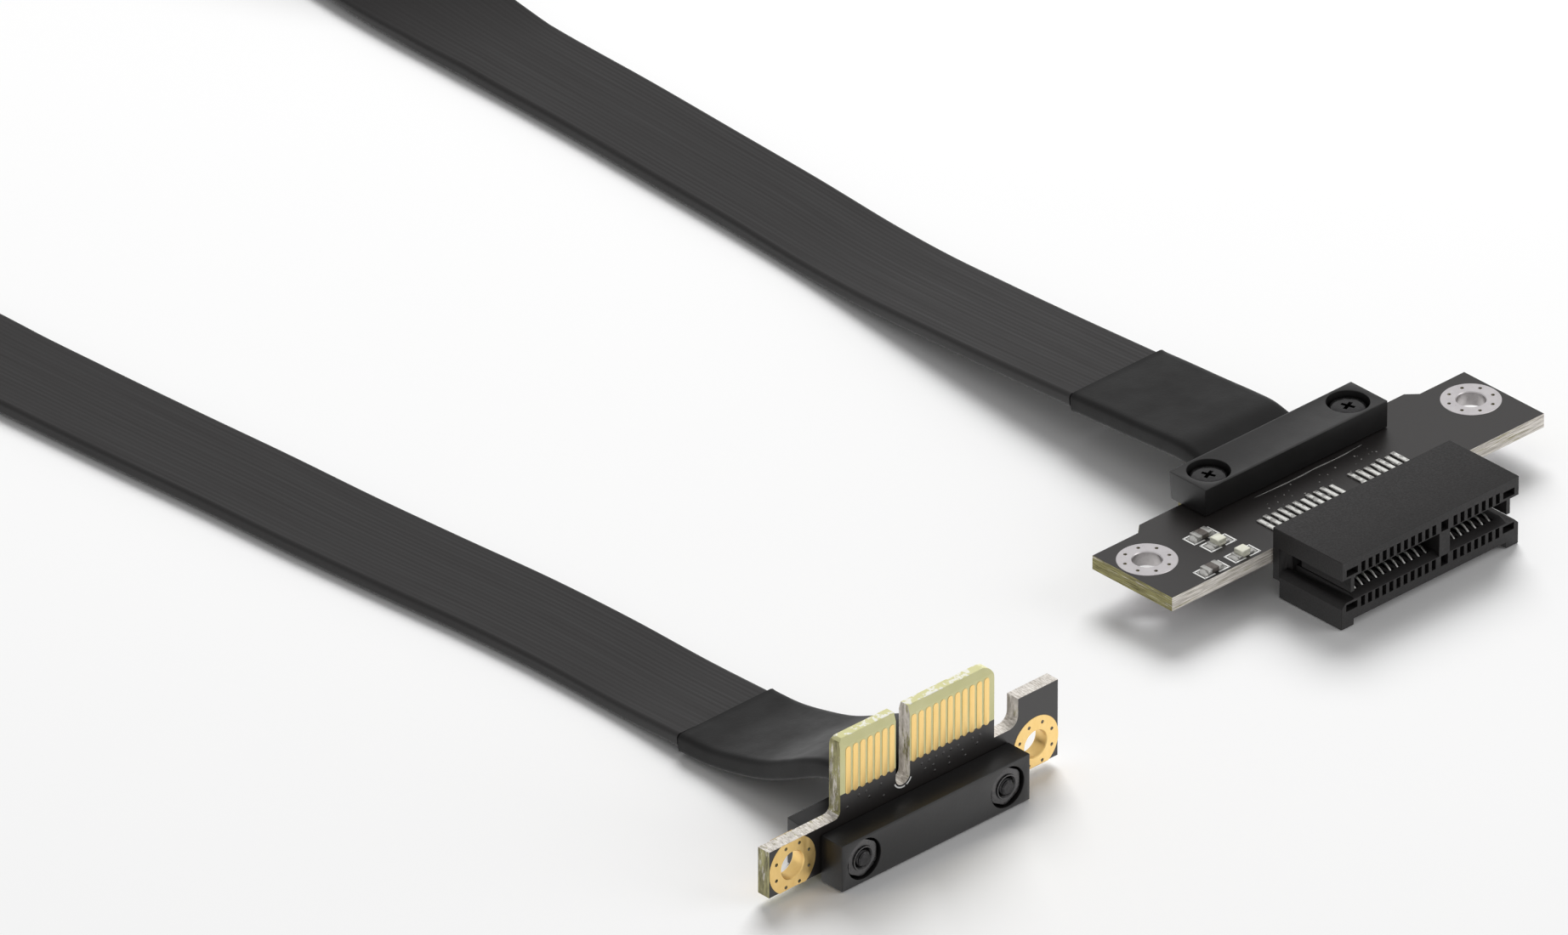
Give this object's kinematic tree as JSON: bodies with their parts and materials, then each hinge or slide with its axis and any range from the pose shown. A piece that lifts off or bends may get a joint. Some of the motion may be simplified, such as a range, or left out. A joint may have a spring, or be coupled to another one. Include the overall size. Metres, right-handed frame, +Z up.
{
  "type": "riser cable",
  "caption": "Flat shielded ribbon between a one-lane expansion slot on a small board and an edge-connector card, each end held in a screwed clamp",
  "frame": {"origin": "The middle of the underside of the slot end's lower clamp bar, on the surface that the part lies on", "axes": "+X along the slot's length, from the card end towards the slot end; +Y the way the ribbon leaves both ends; +Z up from the surface"},
  "size_m": [0.1168, 0.2411, 0.015],
  "materials": {
    "board": "satin black solder mask",
    "moulding": "fine moulded black",
    "clamp": "satin black",
    "black_steel": "blackened",
    "contact": "tinned",
    "gold": "gold plating",
    "silver": "tinned plating",
    "chip": "matt",
    "lens": "clear resin",
    "print": "white ink",
    "sleeve": "satin shrink tube",
    "ribbon": "satin, finely ribbed lengthwise"
  },
  "bodies": {
    "root": {"slot_board": "board", "slot_housing": "moulding", "contact_upper_01": "contact", "contact_upper_02": "contact", "contact_upper_03": "contact", "contact_upper_04": "contact", "contact_upper_05": "contact", "contact_upper_06": "contact", "contact_upper_07": "contact", "contact_upper_08": "contact", "contact_upper_09": "contact", "contact_upper_10": "contact", "contact_upper_11": "contact", "contact_upper_12": "contact", "contact_upper_13": "contact", "contact_upper_14": "contact", "contact_upper_15": "contact", "contact_upper_16": "contact", "contact_upper_17": "contact", "contact_upper_18": "contact", "contact_lower_01": "contact", "contact_lower_02": "contact", "contact_lower_03": "contact", "contact_lower_04": "contact", "contact_lower_05": "contact", "contact_lower_06": "contact", "contact_lower_07": "contact", "contact_lower_08": "contact", "contact_lower_09": "contact", "contact_lower_10": "contact", "contact_lower_11": "contact", "contact_lower_12": "contact", "contact_lower_13": "contact", "contact_lower_14": "contact", "contact_lower_15": "contact", "contact_lower_16": "contact", "contact_lower_17": "contact", "contact_lower_18": "contact", "clamp_upper": "clamp", "clamp_lower": "clamp", "clamp_screw_left": "black_steel", "clamp_nut_left": "black_steel", "clamp_screw_right": "black_steel", "clamp_nut_right": "black_steel", "slot_sleeve": "sleeve", "resistor_back": "chip", "led_back": "lens", "led_front": "lens", "resistor_front": "chip", "card_board": "board", "card_clamp_front": "clamp", "card_clamp_rear": "clamp", "card_screw_left": "black_steel", "card_nut_left": "black_steel", "card_screw_right": "black_steel", "card_nut_right": "black_steel", "card_sleeve": "sleeve", "ribbon_cable": "ribbon"}
  },
  "joints": []
}
